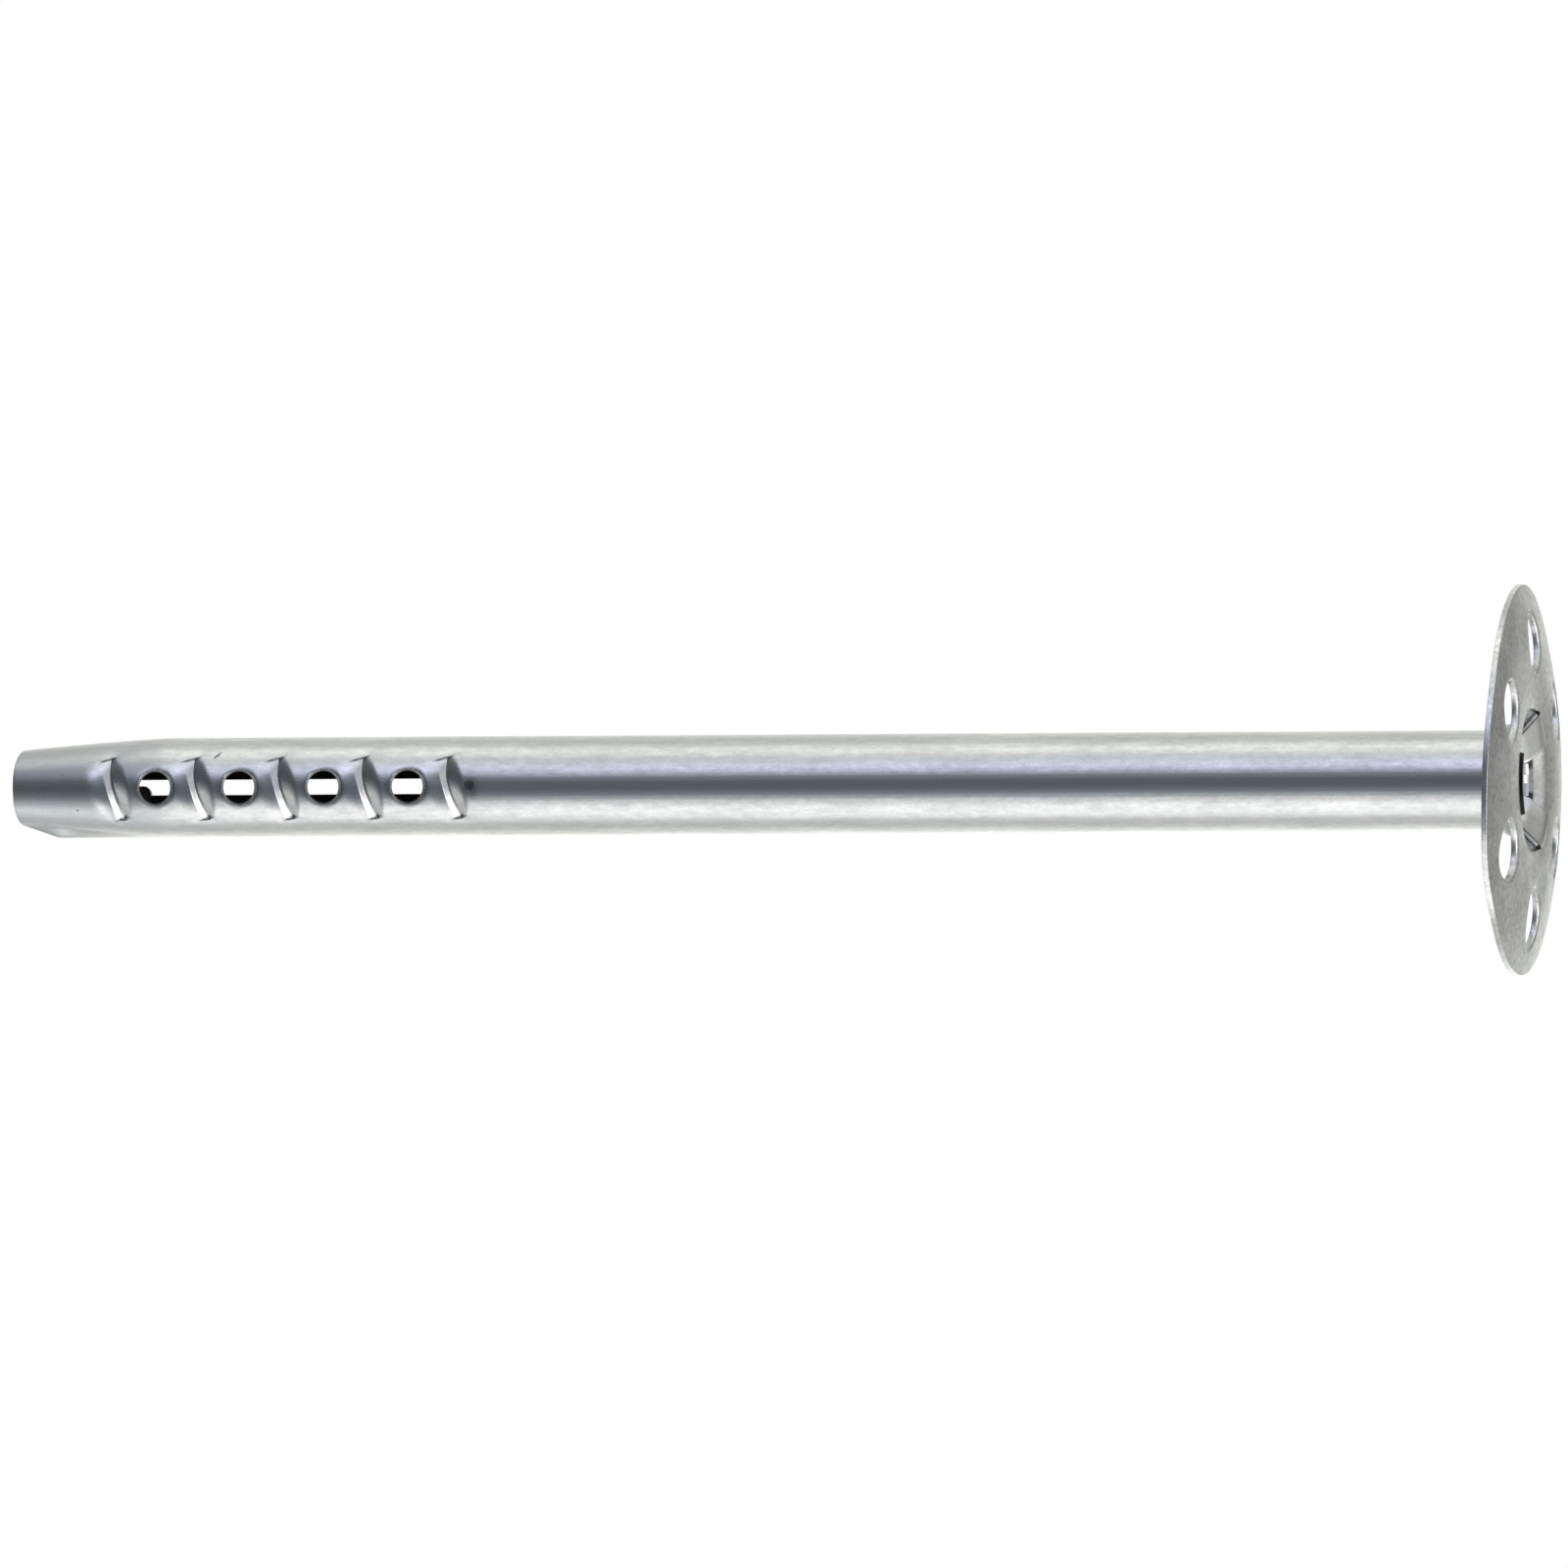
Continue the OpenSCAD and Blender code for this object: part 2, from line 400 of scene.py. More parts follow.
def make_sleeve():
    dom = Domain()
    dom.tag = {}
    # columns, in degrees from the front
    cols = set()
    for v in (0, 2.2, 4.4, 6.6, 8.8, 11, 13.2, 15.4, 17.6, 19.8, 24.2, 26.6, 28.4, 30.2, 32, 33.4, 34.4, 35.0, 35.5,
              36.0, 36.5, 37.1, 38, 39.5, 41.5, 44, 47.5, 52, 57, 62, 68, 74, 80, 86, 92, 98):
        cols.update((v, -v))
    cols.update((22.2, -22.2))
    cols -= {22.2, 24.2, -28.4}
    for lo, hi in EARS:
        cols.update((lo - HAIR, hi + HAIR))
        for f in (0, 0.35, 1.0, 2.2, 4.0, 6.5, 10, 15, 20):
            if lo > -30 and 4 < f:
                continue
            cols.update((lo + f, hi - f))
    cols = {c for c in cols if abs(c) < 171}
    cols = sorted(cols)
    keep = []
    must = {26.6, -26.6, 0}
    for lo, hi in EARS:
        must |= {lo, hi, lo - HAIR, hi + HAIR, lo + 0.35, hi - 0.35, lo + 1.0, hi - 1.0}
    for c in cols:
        if keep and c - keep[-1] < 0.42 and not (c in must and keep[-1] in must):
            if c in must:
                keep[-1] = c
            continue
        keep.append(c)
    cols = keep
    edge0 = math.degrees(math.asin(SLOT / R))
    cols = [-180 + edge0] + [c for c in cols if -169.8 < c < 167.6] + [168.4, 169.4, 180 - edge0]
    # rows from the head's bend to the tip
    rows = [2.75, 3.1, 3.6, 4.3, 5.2, 6.2]
    z = 7.2
    while z < 94.2:
        rows.append(z)
        z += 2.0 if z < 83 else 1.0
    offs = [-1.62, -1.42, -1.22, -1.04, -0.88, -0.74, -0.6, -0.48, -0.36, -0.25, -0.15, -0.08, -0.03, 0,
            0.03, 0.1, 0.22, 0.36, 0.5, 0.57, 0.6, 0.64, 0.72, 0.84, 1.0, 1.2, 1.4, 1.62]
    blocks = []
    for k in range(4, -1, -1):
        zn = NOTCHES[k]
        if k == 4:
            rows += [zn - 3.2, zn - 2.7, zn - 2.3, zn - 1.95]
        rows += [zn + o for o in offs]
        if k > 0:
            lo, hi = zn + PITCH / 2 - 2.0, zn + PITCH / 2 + 2.0
            rows += list(np.linspace(lo, hi, 25))
            blocks.append((lo, hi))
    step = TOTAL - 11.3
    rows = [r for r in rows if not (step - 0.12 < r < step + 0.75)]
    rows += [step - 0.1, step, step + 0.02, step + 0.07, step + 0.15, step + 0.26, step + 0.4, step + 0.55, step + 0.7]
    rows += list(np.linspace(NOTCHES[0] + 1.62, TOTAL, 22))[1:]
    rows = sorted(set(round(r, 4) for r in rows))
    # drop rows that crowd each other, but keep block limits
    lim = {round(v, 4) for b in blocks for v in b} | {2.75, TOTAL, round(step, 4)}
    tidy = []
    for r in rows:
        if tidy and r - tidy[-1] < 0.015:
            if r in lim:
                tidy[-1] = r
            continue
        tidy.append(r)
    rows = tidy
    nc, nr = len(cols), len(rows)
    ids = -np.ones((nr, nc), int)

    def place(cdeg, z):
        """Plan point of a column and a row: rows lean with the notches at the
        front, and columns lean where a notch is."""
        al = cdeg * DEG
        win = float(smooth((112 - abs(cdeg)) / 60.0))
        fade = float(smooth((z - 88) / 7.0)) * float(smooth((TOTAL - 1.2 - z) / 6.0))
        x = R * math.sin(max(-math.pi / 2, min(math.pi / 2, al)))
        dz = SLANT * x * win * fade
        near = min(NOTCHES, key=lambda v: abs(v - z))
        d = z - near
        bb = float(smooth((1.75 - abs(d)) / 0.6)) * float(smooth((78 - abs(cdeg)) / 35.0))
        da = -SLANT * d * bb / R / max(math.cos(al), 0.4) if abs(cdeg) < 80 else 0.0
        # the rows near a notch follow its crease and its steep flank's top
        bow = 0.0
        if abs(d) < 1.62 and abs(cdeg) < 78:
            w = max(-2.8, min(2.8, x / CS))
            c, h = float(crease(w)) / CS, float(left_w(w)) / CS
            bow = float(np.interp(d, [-1.62, -0.7, 0, 0.6, 1.62], [-1.62, -0.7 + 0.6 * c, c, c + h, 1.62])) - d
            bow *= float(smooth((78 - abs(cdeg)) / 38.0))
        if abs(cdeg) > 150:
            lo, hi = slot_x(z)
            rr = float(sleeve_radius(np.array(al), np.array(z)))
            if cdeg < 0:
                edge = -(math.pi + math.asin(float(lo) / rr))
                f = (abs(cdeg) - 150) / (180 - edge0 - 150)
                al = -(150 * DEG) + (edge + 150 * DEG) * f
            else:
                edge = math.pi - math.asin(float(hi) / rr)
                f = (abs(cdeg) - 150) / (180 - edge0 - 150)
                al = 150 * DEG + (edge - 150 * DEG) * f
        return al + da, z + dz + bow

    block_cols = [i for i, c in enumerate(cols) if -26.6 - 1e-6 <= c <= 26.6 + 1e-6]
    c0, c1 = block_cols[0], block_cols[-1]
    inside = np.zeros((nr, nc), bool)
    spans = []
    for lo, hi in blocks:
        r0 = min(range(nr), key=lambda i: abs(rows[i] - lo))
        r1 = min(range(nr), key=lambda i: abs(rows[i] - hi))
        inside[r0 + 1:r1, c0 + 1:c1] = True
        spans.append((r0, r1))
    for j in range(nr):
        for i in range(nc):
            if not inside[j, i]:
                al, z = place(cols[i], rows[j])
                ids[j, i] = dom.add(al * R, z)
    for j in range(nr - 1):
        for i in range(nc - 1):
            q = (ids[j, i], ids[j, i + 1], ids[j + 1, i + 1], ids[j + 1, i])
            if min(q) >= 0 and not any(r0 <= j < r1 and c0 <= i < c1 for r0, r1 in spans):
                dom.quads.append(q)
    steps = [0.82, 0.66, 0.52, 0.40, 0.30, 0.215, 0.14, 0.075, 0.03, 0.0]
    for (r0, r1), zh in zip(spans, sorted(HOLES)):
        loop = [ids[r0, i] for i in range(c0, c1)] + [ids[j, c1] for j in range(r0, r1)]
        loop += [ids[r1, i] for i in range(c1, c0, -1)] + [ids[j, c0] for j in range(r1, r0, -1)]

        def inner(an, f, p, zh=zh):
            # the hole is round seen from the front, so its X is R sin(angle)
            x, z = HOLE_R * math.cos(an), zh + HOLE_R * math.sin(an)
            g = f
            return (R * math.asin(x / R)) * (1 - g) + p[0] * g, z * (1 - g) + p[1] * g

        dom.ring_block(loop, (0.0, zh), inner, steps, "hole")
    uv = np.array(dom.uv)
    pts, far, tone = sleeve_point(uv[:, 0] / R, uv[:, 1])
    # below the bend: ears, and square shoulders between them
    pts = list(pts)
    quads = list(dom.quads)

    def more(p):
        pts.append(np.array(p, float))
        return len(pts) - 1

    path = [bez(BEND_HI, CONE_A, BEND_LO, t) for t in np.linspace(0, 1, 9)[1:]]
    path += [on_cone(r) for r in np.linspace(4.83, 5.95, 8)[1:]]
    path += [bez(LIP_IN, LIP_MID, LIP_OUT, t) for t in np.linspace(0, 0.75, 9)[1:]]
    path = np.array([BEND_HI] + path)
    length = np.concatenate([[0], np.cumsum(np.linalg.norm(np.diff(path, axis=0), axis=1))])
    full = length[-1]

    def on_path(s):
        return np.array([np.interp(s, length, path[:, 0]), np.interp(s, length, path[:, 1])])

    def in_ear(a, b):
        return any(lo - 1e-6 <= a and b <= hi + 1e-6 for lo, hi in EARS)

    def in_slit(a, b):
        return any((lo - HAIR - 1e-6 <= a and b <= lo + 1e-6) or (hi - 1e-6 <= a and b <= hi + HAIR + 1e-6) for lo, hi in EARS)

    foot = [dom.uv[ids[0, i]][0] / R for i in range(nc)]      # angles at the bend
    rings = length[1:]
    ends, sides, ear_back_painted_light = [], [], {}
    for e, (lo, hi) in enumerate(EARS):
        sel = [i for i, c in enumerate(cols) if lo - 1e-6 <= c <= hi + 1e-6]
        f_lo, f_hi = foot[sel[0]], foot[sel[-1]]
        e_lo, e_hi = (v * DEG for v in ENDS[e])
        r_lip = 6.5
        reach = (0.06, 0.02, 0.10)[e]
        prev = [ids[0, i] for i in sel]
        for s in rings:
            now = []
            for i in sel:
                f = (foot[i] - f_lo) / (f_hi - f_lo)
                a_end = e_lo + (e_hi - e_lo) * f
                end = full + reach - 0.16 * (2 * f - 1) ** 2
                for d, corner in (((a_end - e_lo) * r_lip, CORNERS[e][0]), ((e_hi - a_end) * r_lip, CORNERS[e][1])):
                    k = max((corner - d) / corner, 0.0)
                    end -= corner * 0.9 * (1 - math.sqrt(max(1 - k * k, 0)))
                s_c = s * (1 + (end / full - 1) * float(smooth(np.array(s / full))))
                p = on_path(min(s_c, full))
                if s_c > full:
                    p = p + np.array([s_c - full, 0.0])
                t = min(max((p[0] - R) / (r_lip - R), 0.0), 1.0)
                al = foot[i] + (a_end - foot[i]) * t
                now.append(more((p[0] * math.sin(al), -p[0] * math.cos(al), p[1])))
                if s == rings[-1]:
                    ends.append(now[-1])
                elif i in (sel[0], sel[-1]):
                    sides.append(now[-1])
                if e == 0:
                    # painted shade over the near ear's inner face towards its end
                    ear_back_painted_light[now[-1]] = 1 - 0.9 * float(smooth(np.array((s_c - full + 1.6) / 0.7)))
                else:
                    # pressed flat at the very end, with a painted highlight there, and painted shade in the bend before
                    # it
                    back_off = end - s_c
                    ear_back_painted_light[now[-1]] = 1 - 0.30 * math.exp(-((back_off - 0.5) / 0.24) ** 2) + 0.20 * math.exp(-(back_off / 0.15) ** 2)
            for k in range(len(sel) - 1):
                quads.append((now[k], now[k + 1], prev[k + 1], prev[k]))
            prev = now
    gap_rows = [(2.4, 0.012), (2.15, 0.04), (2.0, 0.085), (1.9, 0.14), (1.82, 0.20)]      # height, and flare
    prev = {i: ids[0, i] for i in range(nc)}
    for z, flare in gap_rows:
        now = {}
        for i in range(nc - 1):
            if in_ear(cols[i], cols[i + 1]) or in_slit(cols[i], cols[i + 1]):
                continue
            for k in (i, i + 1):
                if k not in now:
                    al = foot[k]
                    r = R + flare
                    now[k] = more((r * math.sin(al), -r * math.cos(al), z))
            quads.append((now[i], now[i + 1], prev[i + 1], prev[i]))
        prev = now
    pts = np.array(pts)
    back = np.full_like(pts, np.nan)
    tube = np.arange(len(far))[far[:, 2] > 3.0]
    back[tube] = far[tube]
    tones = np.ones(len(pts))
    tones[:len(tone)] = tone
    walls = np.full(len(pts), 0.9)
    walls[ends] = 0.03
    # the ears' side walls: a painted highlight down their middle, and burrs with painted shade at their corners
    walls[sides] = 1.2
    burr_shades = np.full(len(pts), 1.0)
    burr_shades[sides] = 0.22
    torn = np.zeros(len(pts))
    torn[sides] = 1.0
    # walls of the round holes: matt, with painted light making them lighter at the two sides
    for zh in HOLES:
        dx, dz = pts[:, 0], pts[:, 2] - zh
        at_rim = (np.hypot(dx, dz) < HOLE_R + 0.02) & (pts[:, 1] < 0)
        torn[at_rim] = 0.8
        walls[at_rim] = 0.45 + 0.75 * (np.abs(dz[at_rim]) / HOLE_R) ** 1.5 + 0.2 * np.clip(dx[at_rim] / HOLE_R, 0, 1)
    # painted shade inside the sleeve, lighter where it opens out
    back_shade = 1 - 0.68 * smooth((pts[:, 2] - 2.6) / 4.0)
    for i, v in ear_back_painted_light.items():
        back_shade[i] = v
    return rounded_sheet("sleeve_sheet", pts, quads, T, 0.045, floor_z=0.004, far=back, shade=tones, cut=walls,
                         burr_shade=burr_shades, back_shade=back_shade, raw=torn)


# ---------------------------------------------------------------- head disc
def make_disc():
    gap = 0.012
    face = [tuple(bez(BEND_HI, CONE_A, BEND_LO, t)) for t in np.linspace(0.06, 1, 12)]
    face += [tuple(on_cone(r)) for r in np.linspace(4.83, 5.95, 13)[1:-1]]
    face += [tuple(bez(LIP_IN, LIP_MID, LIP_OUT, t)) for t in np.linspace(0, 1, 11)]
    face += [(r, dome(r)) for r in (7.1, 7.4, 7.8, 8.2, 8.55, 8.8)]
    face = np.array(face)
    tan = np.gradient(face, axis=0)
    tan /= np.linalg.norm(tan, axis=1, keepdims=True)
    nrm = np.stack([-tan[:, 1], tan[:, 0]], axis=1)
    face = face + nrm * gap
    # columns: each hole's block of 32 degrees, then 28 plain
    cols = []
    for k in range(6):
        c = 30 + 60 * k
        cols += list(c + np.linspace(-16, 16, 25)) + list(c + 16 + np.linspace(0, 28, 10)[1:-1])
    nc = len(cols)
    rad = list(np.linspace(9.0, 15.8, 25))
    rim = [16.1, 16.45, 16.8, 17.1, 17.3, 17.4, 17.46, 17.5]
    pts, quads = [], []

    def add(p):
        pts.append(p)
        return len(pts) - 1

    def world(r, a, z):
        # a runs from +Y towards +X
        return np.array([r * math.sin(a), r * math.cos(a), z])

    def crooked(r, a):
        # clinched a little crooked: half a degree high at the -X side
        z = (0.10 - 0.0100 * r * math.sin(a)) * float(smooth(np.array((r - 7.0) / 3.0)))
        # and its front edge is bent, out on one side and in on the other
        deg = math.degrees(a) % 360
        z += (0.22 * math.exp(-((deg - 207) / 15) ** 2) - 0.27 * math.exp(-((deg - 133) / 38) ** 4)
              - 0.15 * math.exp(-((deg - 180) / 52) ** 4)) * float(smooth(np.array((r - 10) / 6.5)))
        # the far edge falls away a little sooner
        z += 0.17 * math.exp(-((deg - 48) / 26) ** 2) * float(smooth(np.array((r - 10) / 4)))
        # a faint set in the pressed sheet, none at the crown and the lip
        return z + 0.018 * smooth(np.array((r - 10.5) / 5)) * (math.sin(2 * a + 0.8) + 0.6 * math.sin(3 * a + 2.1)) * 0.5

    def surface(r, a):
        return max(dome(r) + crooked(r, a), 0.0)

    rows = []
    for r, z in face:
        rows.append([add(world(r, c * DEG, z + crooked(r, c * DEG))) for c in cols])
    for j, r in enumerate(rad):
        line = []
        for i, c in enumerate(cols):
            k = i // 33
            within = (i % 33) <= 24
            if within and 0 < (i % 33) < 24 and 0 < j < len(rad) - 1:
                line.append(-1)
            else:
                line.append(add(world(r, c * DEG, surface(r, c * DEG))))
        rows.append(line)
    for r in rim:
        rows.append([add(world(r, c * DEG, surface(r, c * DEG))) for c in cols])
    j_block = len(face)
    for j in range(len(rows) - 1):
        for i in range(nc):
            i2 = (i + 1) % nc
            block = (i % 33) < 24 and j_block <= j < j_block + 24
            if block:
                continue
            # seen from below, the direction from +Y towards +X turns anticlockwise
            quads.append((rows[j][i], rows[j][i2], rows[j + 1][i2], rows[j + 1][i]))
    thick = {}
    profile = [(3.14, 0, 0.5), (3.08, 0, 0.5)]
    rf = 0.36
    for t in np.linspace(0, 90, 8):
        profile.append((DHOLE_R + rf - rf * math.sin(t * DEG), rf - rf * math.cos(t * DEG), 0.5 - 0.17 * t / 90))
    profile += [(DHOLE_R, rf + 0.12, 0.32), (DHOLE_R, rf + 0.30, 0.31)]
    for k in range(6):
        a0 = (30 + 60 * k) * DEG
        first = 33 * k
        jb = j_block
        loop = [rows[jb][first + m] for m in range(24)]
        loop += [rows[jb + m][first + 24] for m in range(24)]
        loop += [rows[jb + 24][first + 24 - m] for m in range(24)]
        loop += [rows[jb + 24 - m][first] for m in range(24)]
        cx, cy = RING_R * math.sin(a0), RING_R * math.cos(a0)
        out3 = np.array([math.sin(a0), math.cos(a0)])
        side = np.array([math.cos(a0), -math.sin(a0)])
        last = loop
        base = [np.array(pts[i]) for i in loop]
        dirs = []
        for p in base:
            d = p[:2] - np.array([cx, cy])
            dirs.append(d / np.linalg.norm(d))
        rings = []
        for f in (0.75, 0.5, 0.25):
            ring = []
            for p, d in zip(base, dirs):
                q = p[:2] * f + (np.array([cx, cy]) + d * 3.14) * (1 - f)
                r, a = math.hypot(*q), math.atan2(q[0], q[1])
                ring.append(add(world(r, a, surface(r, a))))
            rings.append(ring)
        for rho, h, tk in profile:
            ring = []
            for d in dirs:
                q = np.array([cx, cy]) + d * rho
                r, a = math.hypot(*q), math.atan2(q[0], q[1])
                ring.append(add(world(r, a, surface(r, a) + h)))
                thick[ring[-1]] = tk
            rings.append(ring)
        for ring in rings:
            n = len(loop)
            for m in range(n):
                quads.append((last[m], last[(m + 1) % n], ring[(m + 1) % n], ring[m]))
            last = ring
    th = np.full(len(pts), T)
    for i, v in thick.items():
        th[i] = v
    # the grid was laid facing up; the face that shows looks down, at the crown
    pts = np.array(pts)
    # the rim is cut straight along the axis, not square to the dome
    back = np.full(pts.shape, np.nan)
    back[rows[-1]] = pts[rows[-1]] + (0, 0, T)
    # painted shade on the funnel close under the sleeve's edge, most of it
    # in the corners beside the roots of the ears
    r = np.hypot(pts[:, 0], pts[:, 1])
    at = np.degrees(np.arctan2(pts[:, 0], -pts[:, 1]))
    tone = 1 - 0.45 * smooth((r - 4.86) / 0.1) * smooth((5.34 - r) / 0.14)
    for mid, half, r_in, r_out, dark in ((163.0, 6.0, 4.74, 5.28, 0.85), (-162.0, 5.5, 4.74, 5.28, 0.88),
                                         (103.0, 7.0, 4, 5.15, 0.8), (-99.0, 7.0, 4, 5.25, 0.8)):
        off = np.abs((at - mid + 180) % 360 - 180)
        tone = tone * (1 - dark * smooth((half + 1.5 - off) / 3.0) * smooth((r_out + 0.1 - r) / 0.2) * smooth((r - r_in + 0.05) / 0.1))
    return rounded_sheet("disc_sheet", pts, [q[::-1] for q in quads], th, 0.05, floor_z=0.0, far=back, shade=tone, cut=1.0,
                         back_shade=1 / np.maximum(tone, 0.02), raw=-0.1)


# ---------------------------------------------------------------- materials
def node(nt, kind, **kw):
    n = nt.nodes.new(kind)
    for k, v in kw.items():
        setattr(n, k, v)
    return n


def zinc(name, tint, rough, streak, vary, marks=()):
    """Galvanised sheet: a metal with a fine mottle, faint drawing lines along
    Z where streak is over 0, and a shallow grain in the bump. marks are dark
    specks on the front: x, z, half length, half width, turn in degrees, depth."""
    m = bpy.data.materials.new(name)
    m.use_nodes = True
    nt = m.node_tree
    b = nt.nodes["Principled BSDF"]
    b.inputs["Metallic"].default_value = 1.0
    co = node(nt, "ShaderNodeTexCoord")
    link = nt.links.new

    def mapped(scale):
        mp = node(nt, "ShaderNodeMapping")
        mp.inputs["Scale"].default_value = scale
        link(co.outputs["Object"], mp.inputs["Vector"])
        return mp.outputs["Vector"]

    def noise(scale, vec, detail=3.0, rough_=0.6):
        n = node(nt, "ShaderNodeTexNoise")
        n.inputs["Scale"].default_value = scale
        n.inputs["Detail"].default_value = detail
        n.inputs["Roughness"].default_value = rough_
        link(vec, n.inputs["Vector"])
        return n.outputs["Fac"]

    def math_(op, a, b_, c=None):
        n = node(nt, "ShaderNodeMath", operation=op)
        for i, v in enumerate((a, b_, c)):
            if v is None:
                continue
            if isinstance(v, (int, float)):
                n.inputs[i].default_value = v
            else:
                link(v, n.inputs[i])
        return n.outputs[0]

    flat = mapped((1, 1, 1 - 0.55 * streak))
    long_ = mapped((1, 1, 1 - 0.93 * streak))
    mott = noise(1900, flat, 4.0, 0.62)
    grain = noise(6500, flat, 2.0, 0.6)
    cloud = noise(260, flat, 3.0, 0.55)
    lines = noise(2600, long_, 3.0, 0.6)
    mix = math_("MULTIPLY_ADD", mott, 0.55, math_("MULTIPLY", grain, 0.25))
    mix = math_("ADD", mix, math_("MULTIPLY", lines, 0.30 * streak + 0.001))
    mix = math_("ADD", mix, math_("MULTIPLY", cloud, 0.35))
    mean = 0.5 * (0.55 + 0.25 + 0.30 * streak + 0.001 + 0.35)
    dev = math_("SUBTRACT", mix, mean)
    lum = math_("MULTIPLY_ADD", dev, vary, 1.0)
    # tone brings in the meshes' painted shade and painted highlights
    attr = node(nt, "ShaderNodeAttribute", attribute_name="tone")
    lum = math_("MULTIPLY", lum, attr.outputs["Fac"])
    if marks:
        xyz = node(nt, "ShaderNodeSeparateXYZ")
        link(co.outputs["Object"], xyz.inputs[0])
        front = math_("LESS_THAN", xyz.outputs[1], 0.0)
    for mx_, mz_, half_l, half_w, turn, depth in marks:
        c_, s_ = math.cos(turn * DEG), math.sin(turn * DEG)
        dx = math_("SUBTRACT", xyz.outputs[0], mx_ * MM)
        dz = math_("SUBTRACT", xyz.outputs[2], mz_ * MM)
        along = math_("MULTIPLY", math_("ADD", math_("MULTIPLY", dx, c_), math_("MULTIPLY", dz, s_)), 1 / (half_l * MM))
        aside = math_("MULTIPLY", math_("SUBTRACT", math_("MULTIPLY", dz, c_), math_("MULTIPLY", dx, s_)), 1 / (half_w * MM))
        d2 = math_("ADD", math_("POWER", math_("ABSOLUTE", along, None), 3.0), math_("MULTIPLY", aside, aside))
        d2 = math_("ADD", d2, math_("MULTIPLY_ADD", grain, 1.2, -0.6))
        hit = node(nt, "ShaderNodeMapRange")
        hit.interpolation_type = "SMOOTHSTEP"
        for k, v in ((1, 1.5), (2, 0.4), (3, 0.0), (4, depth)):
            hit.inputs[k].default_value = v
        link(d2, hit.inputs[0])
        lum = math_("MULTIPLY", lum, math_("SUBTRACT", 1.0, math_("MULTIPLY", hit.outputs[0], front)))
    col = node(nt, "ShaderNodeMix", data_type="RGBA", blend_type="MULTIPLY")
    col.inputs[0].default_value = 1.0
    col.inputs[6].default_value = (*tint, 1)
    comb = node(nt, "ShaderNodeCombineColor")
    for i in range(3):
        link(lum, comb.inputs[i])
    link(comb.outputs[0], col.inputs[7])
    link(col.outputs[2], b.inputs["Base Color"])
    torn = node(nt, "ShaderNodeAttribute", attribute_name="raw")
    link(math_("MULTIPLY_ADD", torn.outputs["Fac"], 0.55, math_("MULTIPLY_ADD", dev, -0.30, rough)), b.inputs["Roughness"])
    bump = node(nt, "ShaderNodeBump")
    bump.inputs["Strength"].default_value = 0.22
    bump.inputs["Distance"].default_value = 0.00002
    link(mix, bump.inputs["Height"])
    link(bump.outputs["Normal"], b.inputs["Normal"])
    return m


# ------------------------------------------------------------------ objects
mat_sleeve = zinc("zinc_sleeve", (0.80, 0.80, 0.80), 0.25, 1.0, 0.7, marks=(
    (2.85, 120.0, 0.42, 0.10, -50, 0.75), (-1.99, 132.9, 0.10, 0.10, 0, 0.55), (0.05, 96.75, 0.50, 0.42, 90, 0.55)))
mat_disc = zinc("zinc_disc", (0.79, 0.79, 0.785), 0.30, 0.0, 2.1)

sleeve = make_sleeve()
sleeve.data.materials.append(mat_sleeve)
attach(sleeve, "root")
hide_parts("sleeve")

disc = make_disc()
disc.data.materials.append(mat_disc)
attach(disc, "root")
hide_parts("head_disc")

# -------------------------------------------------------------------- floor
mesh = bpy.data.meshes.new("floor")
s = 3.0
mesh.from_pydata([(-s, -s, -0.00002), (s, -s, -0.00002), (s, s, -0.00002), (-s, s, -0.00002)], [], [(0, 1, 2, 3)])
floor = bpy.data.objects.new("floor", mesh)
bpy.context.scene.collection.objects.link(floor)
fm = bpy.data.materials.new("pale_floor")
fm.use_nodes = True
nt = fm.node_tree
fb = nt.nodes["Principled BSDF"]
fb.inputs["Base Color"].default_value = (0.86, 0.86, 0.85, 1)
fb.inputs["Roughness"].default_value = 0.9
# pale, as studio paper lit on its own; it lights nothing else
fb.inputs["Emission Color"].default_value = (0.87, 0.87, 0.85, 1)
fb.inputs["Emission Strength"].default_value = 0.55
clear = nt.nodes.new("ShaderNodeBsdfTransparent")
geo = nt.nodes.new("ShaderNodeNewGeometry")
mixn = nt.nodes.new("ShaderNodeMixShader")
nt.links.new(geo.outputs["Backfacing"], mixn.inputs[0])
nt.links.new(fb.outputs[0], mixn.inputs[1])
nt.links.new(clear.outputs[0], mixn.inputs[2])
nt.links.new(mixn.outputs[0], nt.nodes["Material Output"].inputs["Surface"])
floor.data.materials.append(fm)
# the photograph looks up at the head from under this floor, so the floor
# shows from above only, and the studio's light passes it
floor.visible_diffuse = False
floor.visible_glossy = False
floor.visible_transmission = False
floor.visible_shadow = False

# -------------------------------------------------------------------- world
world = bpy.data.worlds.new("studio")
bpy.context.scene.world = world
world.use_nodes = True
wt = world.node_tree
wt.nodes.clear()
L = wt.links.new
tc = wt.nodes.new("ShaderNodeTexCoord")
sep = wt.nodes.new("ShaderNodeSeparateXYZ")
L(tc.outputs["Generated"], sep.inputs[0])


def wmath(op, a, b=0.0, c=None):
    n = wt.nodes.new("ShaderNodeMath")
    n.operation = op
    for i, v in enumerate((a, b, c)):
        if v is None:
            continue
        if isinstance(v, (int, float)):
            n.inputs[i].default_value = v
        else:
            L(v, n.inputs[i])
    return n.outputs[0]


neg_y = wmath("MULTIPLY", sep.outputs[1], -1.0)
az = wmath("ARCTAN2", sep.outputs[0], neg_y)
fac = wmath("MULTIPLY_ADD", az, 1 / (2 * math.pi), 0.5)


# tints of the studio's soft boxes, walls and dark cards
PLAIN, NEUTRAL = (1.0, 1.02, 0.97), (1.0, 1.0, 1.0)
LAVENDER, COOL, STEEL = (0.90, 0.94, 1.16), (0.94, 1.01, 1.05), (0.85, 1.0, 1.15)


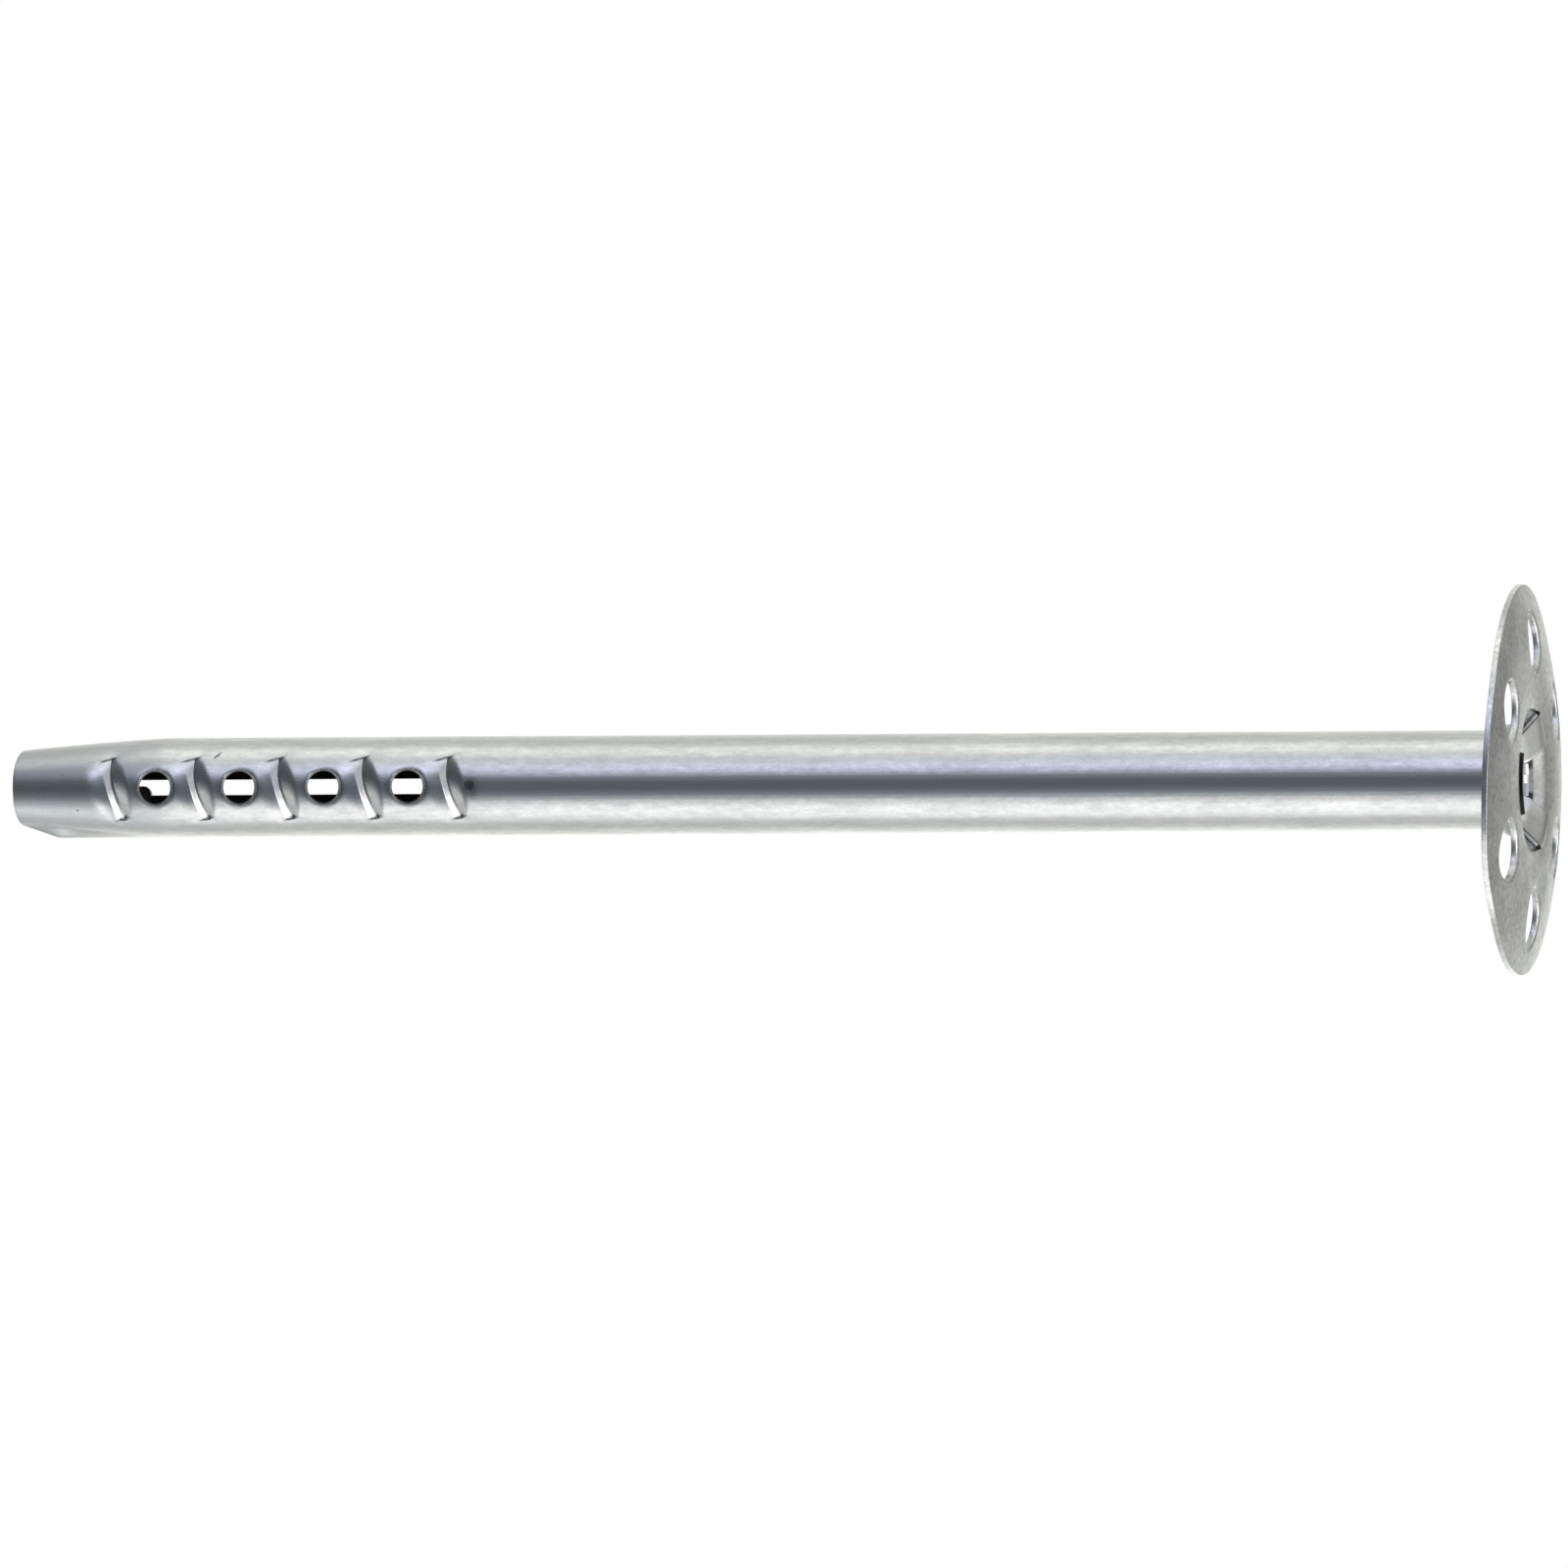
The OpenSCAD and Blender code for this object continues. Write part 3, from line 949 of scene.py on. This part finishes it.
def ring(stops):
    """The studio round the object at one height: degrees from the camera's
    side towards +X, how bright it is there, and its tint."""
    ramp = wt.nodes.new("ShaderNodeValToRGB")
    L(fac, ramp.inputs[0])
    cr = ramp.color_ramp
    cr.interpolation = "LINEAR"
    while len(cr.elements) > 1:
        cr.elements.remove(cr.elements[-1])
    for k, (deg, bright, tint) in enumerate(stops):
        pos = deg / 360 + 0.5
        el = cr.elements[0] if k == 0 else cr.elements.new(pos)
        el.position = pos
        el.color = (*[bright * v for v in tint], 1)
    return ramp.outputs[0]


def height(low, high):
    """0 below an elevation in degrees and 1 above another."""
    n = wt.nodes.new("ShaderNodeMapRange")
    n.interpolation_type = "SMOOTHSTEP"
    n.inputs[1].default_value = math.sin(low * DEG)
    n.inputs[2].default_value = math.sin(high * DEG)
    L(sep.outputs[2], n.inputs[0])
    return n.outputs[0]


def blend(a, b, f):
    n = wt.nodes.new("ShaderNodeMix")
    n.data_type = "RGBA"
    L(f, n.inputs[0])
    L(a, n.inputs[6])
    L(b, n.inputs[7])
    return n.outputs[2]


level = ring([
    (-180, 0.97, PLAIN), (-170, 1.24, PLAIN), (-115, 0.59, PLAIN), (-96, 0.60, NEUTRAL), (-80, 1.15, NEUTRAL),
    (-55, 1.31, NEUTRAL), (-42, 0.99, NEUTRAL), (-32, 0.54, COOL), (-22, 0.20, STEEL), (-10, 0.11, STEEL),
    (8, 0.11, STEEL), (20, 0.24, STEEL), (30, 0.83, LAVENDER), (40, 1.13, LAVENDER), (58, 0.75, COOL),
    (68, 0.76, NEUTRAL), (78, 1.06, PLAIN), (92, 1.12, PLAIN), (106, 0.69, PLAIN), (125, 0.59, PLAIN),
    (180, 0.97, PLAIN),
])
raised = ring([
    (-180, 0.43, PLAIN), (-116, 0.41, COOL), (-68, 0.70, COOL), (-50, 0.36, COOL), (-32, 0.14, STEEL),
    (0, 0.063, STEEL), (35, 0.11, STEEL), (52, 0.20, STEEL), (72, 0.54, COOL), (94, 0.40, COOL),
    (180, 0.43, PLAIN),
])
over = ring([
    (-180, 0.29, PLAIN), (-35, 0.67, NEUTRAL), (-18, 0.28, COOL), (0, 0.083, STEEL), (25, 0.087, STEEL),
    (110, 0.24, COOL), (180, 0.29, PLAIN),
])
low = ring([
    (-180, 0.28, PLAIN), (-173, 0.46, PLAIN), (-120, 0.47, PLAIN), (-92, 0.70, PLAIN), (-70, 1.16, NEUTRAL),
    (-44, 1.02, NEUTRAL), (-22, 0.18, STEEL), (-8, 0.098, STEEL), (10, 0.10, STEEL), (22, 0.19, STEEL),
    (34, 0.68, LAVENDER), (50, 0.89, COOL), (98, 0.77, PLAIN), (130, 0.41, PLAIN), (180, 0.28, PLAIN),
])
dipped = ring([
    (-180, 0.22, PLAIN), (-135, 0.38, PLAIN), (-95, 0.79, PLAIN), (-60, 1.50, NEUTRAL), (-8, 1.68, NEUTRAL),
    (16, 1.53, NEUTRAL), (23, 0.72, NEUTRAL), (29, 0.33, COOL), (39, 0.30, COOL), (45, 0.60, LAVENDER),
    (56, 0.77, LAVENDER), (92, 0.66, NEUTRAL), (122, 0.38, PLAIN), (180, 0.22, PLAIN),
])
under = ring([
    (-180, 0.34, PLAIN), (-90, 0.33, PLAIN), (90, 0.52, PLAIN), (180, 0.34, PLAIN),
])
sky = blend(under, dipped, height(-84, -66))
sky = blend(sky, low, height(-46, -28))
sky = blend(sky, level, height(-20, 2))
sky = blend(sky, raised, height(11.8, 20.5))
sky = blend(sky, over, height(28, 55))
bg = wt.nodes.new("ShaderNodeBackground")
L(sky, bg.inputs[0])
bg.inputs[1].default_value = 1.0
white = wt.nodes.new("ShaderNodeBackground")
white.inputs[0].default_value = (1, 1, 1, 1)
white.inputs[1].default_value = 1.0
lp = wt.nodes.new("ShaderNodeLightPath")
mx = wt.nodes.new("ShaderNodeMixShader")
L(lp.outputs["Is Camera Ray"], mx.inputs[0])
L(bg.outputs[0], mx.inputs[1])
L(white.outputs[0], mx.inputs[2])
wo = wt.nodes.new("ShaderNodeOutputWorld")
L(mx.outputs[0], wo.inputs[0])

sc = bpy.context.scene
sc.view_settings.view_transform = "Standard"
sc.view_settings.look = "None"
sc.view_settings.exposure = 0.0
sc.view_settings.gamma = 1.0

# ------------------------------------------------------------------- camera
LENS = 1500.0
K = 11.376                     # pixels a millimetre in the 1600 pixel frame
TILT = 11.642 * DEG
ROLL = 0.33 * DEG
dist = 1600 * LENS / 36 / K * MM
f = Vector((0, math.cos(TILT), math.sin(TILT)))
zp = Vector((0, math.sin(TILT), -math.cos(TILT)))       # the axis towards the head, in the picture plane
xp = Vector((1, 0, 0))
right = zp * math.cos(ROLL) - xp * math.sin(ROLL)
upv = zp * math.sin(ROLL) + xp * math.cos(ROLL)
aim = Vector((0.014, 0, 68.782)) * MM
cam_data = bpy.data.cameras.new("camera")
cam_data.lens = LENS
cam_data.sensor_width = 36
cam_data.clip_start = 0.1
cam_data.clip_end = 60
cam = bpy.data.objects.new("camera", cam_data)
sc.collection.objects.link(cam)
loc = aim - f * dist
cam.matrix_world = Matrix(((right.x, upv.x, -f.x, loc.x), (right.y, upv.y, -f.y, loc.y), (right.z, upv.z, -f.z, loc.z), (0, 0, 0, 1)))
sc.camera = cam
